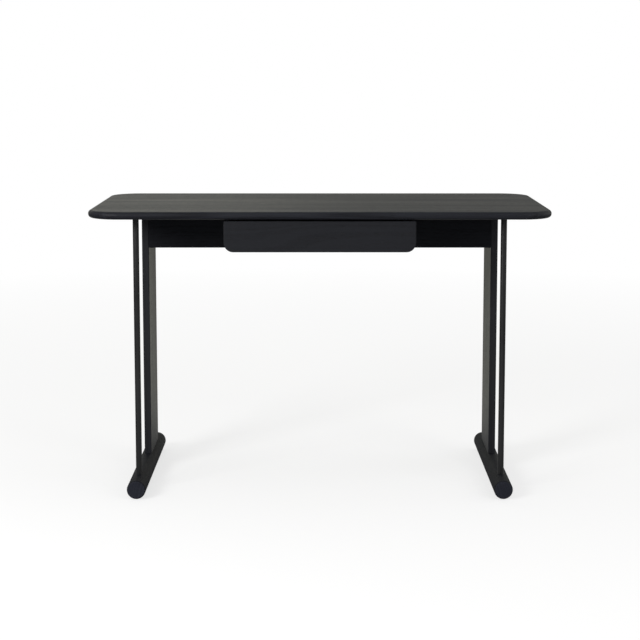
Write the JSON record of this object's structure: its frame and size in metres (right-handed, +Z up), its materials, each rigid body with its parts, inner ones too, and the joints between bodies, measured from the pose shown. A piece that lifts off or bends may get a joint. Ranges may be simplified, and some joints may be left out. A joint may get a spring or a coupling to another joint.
{
  "type": "writing desk with drawer",
  "caption": "Writing desk with a round-cornered top, leg frames of a bar foot, slim rod and upright board, and a handle-free drawer on ball runners under the front edge.",
  "frame": {"origin": "on the floor under the middle of the top, which is the bottom centre of the whole desk's box", "axes": "+Z up, the drawer front faces -Y, +X is to the right as seen from the front"},
  "size_m": [1.2, 0.6, 0.755],
  "materials": {
    "stained_top": "black-stained veneer, open fine grain, satin lacquer",
    "stained_wood": "black-stained solid wood, satin lacquer",
    "stained_front": "black-stained front, smooth satin lacquer",
    "drawer_wood": "black-stained plywood, thin matt lacquer",
    "black_steel": "fine-textured black powder coat",
    "zinc_steel": "bright zinc plating",
    "bright_steel": "polished bearing steel",
    "dowel_wood": "fluted beech, untreated",
    "black_nylon": "moulded nylon",
    "soft_rubber": "soft buffer"
  },
  "bodies": {
    "desk": {"tabletop": "stained_top", "left_foot": "stained_wood", "right_foot": "stained_wood", "left_front_rod": "black_steel", "right_front_rod": "black_steel", "left_leg_panel": "stained_wood", "right_leg_panel": "stained_wood", "apron_rail": "stained_wood", "foot_glides": "black_nylon", "rod_bolts": "zinc_steel", "panel_bolts": "zinc_steel", "panel_inserts": "zinc_steel", "rod_inserts": "zinc_steel", "panel_dowels": "dowel_wood", "rail_dowels": "dowel_wood", "rail_cams": "zinc_steel", "rail_cam_bolts": "zinc_steel", "left_panel_angle": "black_steel", "right_panel_angle": "black_steel", "rail_brackets": "black_steel", "frame_screws": "zinc_steel", "left_drawer_hanger": "black_steel", "right_drawer_hanger": "black_steel", "left_runner_outer": "zinc_steel", "right_runner_outer": "zinc_steel", "runner_rivets": "zinc_steel"},
    "drawer": {"left_runner_inner": "zinc_steel", "right_runner_inner": "zinc_steel", "runner_screws": "zinc_steel", "drawer_front": "stained_front", "drawer_box_front": "drawer_wood", "drawer_left_side": "drawer_wood", "drawer_right_side": "drawer_wood", "drawer_back": "drawer_wood", "drawer_bottom": "drawer_wood", "drawer_front_screws": "zinc_steel", "drawer_bumpers": "soft_rubber"},
    "runner_middles": {"left_runner_middle": "zinc_steel", "right_runner_middle": "zinc_steel"},
    "outer_cages": {"left_outer_ball_cage": "bright_steel", "right_outer_ball_cage": "bright_steel", "outer_balls": "bright_steel"},
    "inner_cages": {"left_inner_ball_cage": "bright_steel", "right_inner_ball_cage": "bright_steel", "inner_balls": "bright_steel"}
  },
  "joints": [
    {"name": "drawer_slide", "type": "slide", "parent": "desk", "child": "drawer", "axis": [0, -1, 0], "range_m": [0, 0.24]},
    {"name": "middle_slide", "type": "slide", "parent": "desk", "child": "runner_middles", "axis": [0, -1, 0], "range_m": [0, 0.12]},
    {"name": "outer_cage_slide", "type": "slide", "parent": "desk", "child": "outer_cages", "axis": [0, -1, 0], "range_m": [0, 0.06]},
    {"name": "inner_cage_slide", "type": "slide", "parent": "desk", "child": "inner_cages", "axis": [0, -1, 0], "range_m": [0, 0.18]}
  ],
  "couplings": [
    {"joint": "middle_slide", "follows": "drawer_slide", "ratio": 0.5},
    {"joint": "outer_cage_slide", "follows": "drawer_slide", "ratio": 0.25},
    {"joint": "inner_cage_slide", "follows": "drawer_slide", "ratio": 0.75}
  ]
}
